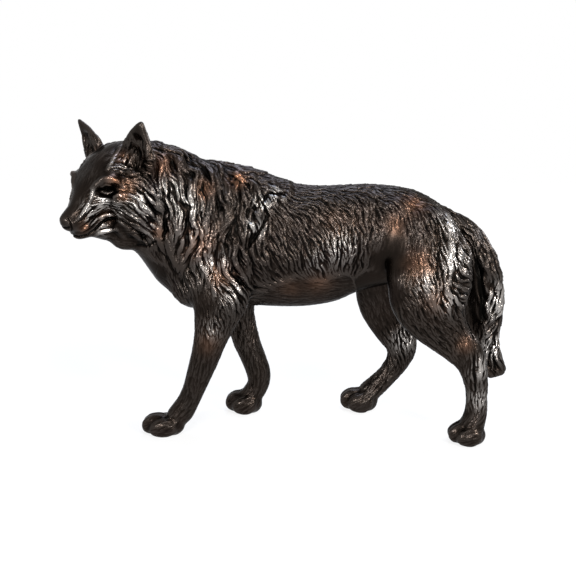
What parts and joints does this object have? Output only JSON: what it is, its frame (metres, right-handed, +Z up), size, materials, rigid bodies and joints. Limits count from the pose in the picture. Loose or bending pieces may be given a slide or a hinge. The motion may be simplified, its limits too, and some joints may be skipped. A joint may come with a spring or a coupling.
{
  "type": "fox garden statue",
  "caption": "Life-size walking fox or wolf, cast in one piece in dark bronze, with its head turned to its left, a shaggy cape and a hanging brush.",
  "frame": {"origin": "on the ground, midway under the statue's outer box", "axes": "+Z up; the animal walks towards -X, its left side is towards -Y"},
  "size_m": [0.6888, 0.1996, 0.499],
  "materials": {
    "bronze": "cast bronze with a glossy dark brown patina, rubbed to copper brown on the raised fur"
  },
  "bodies": {
    "root": {"fox_casting": "bronze"}
  },
  "joints": []
}
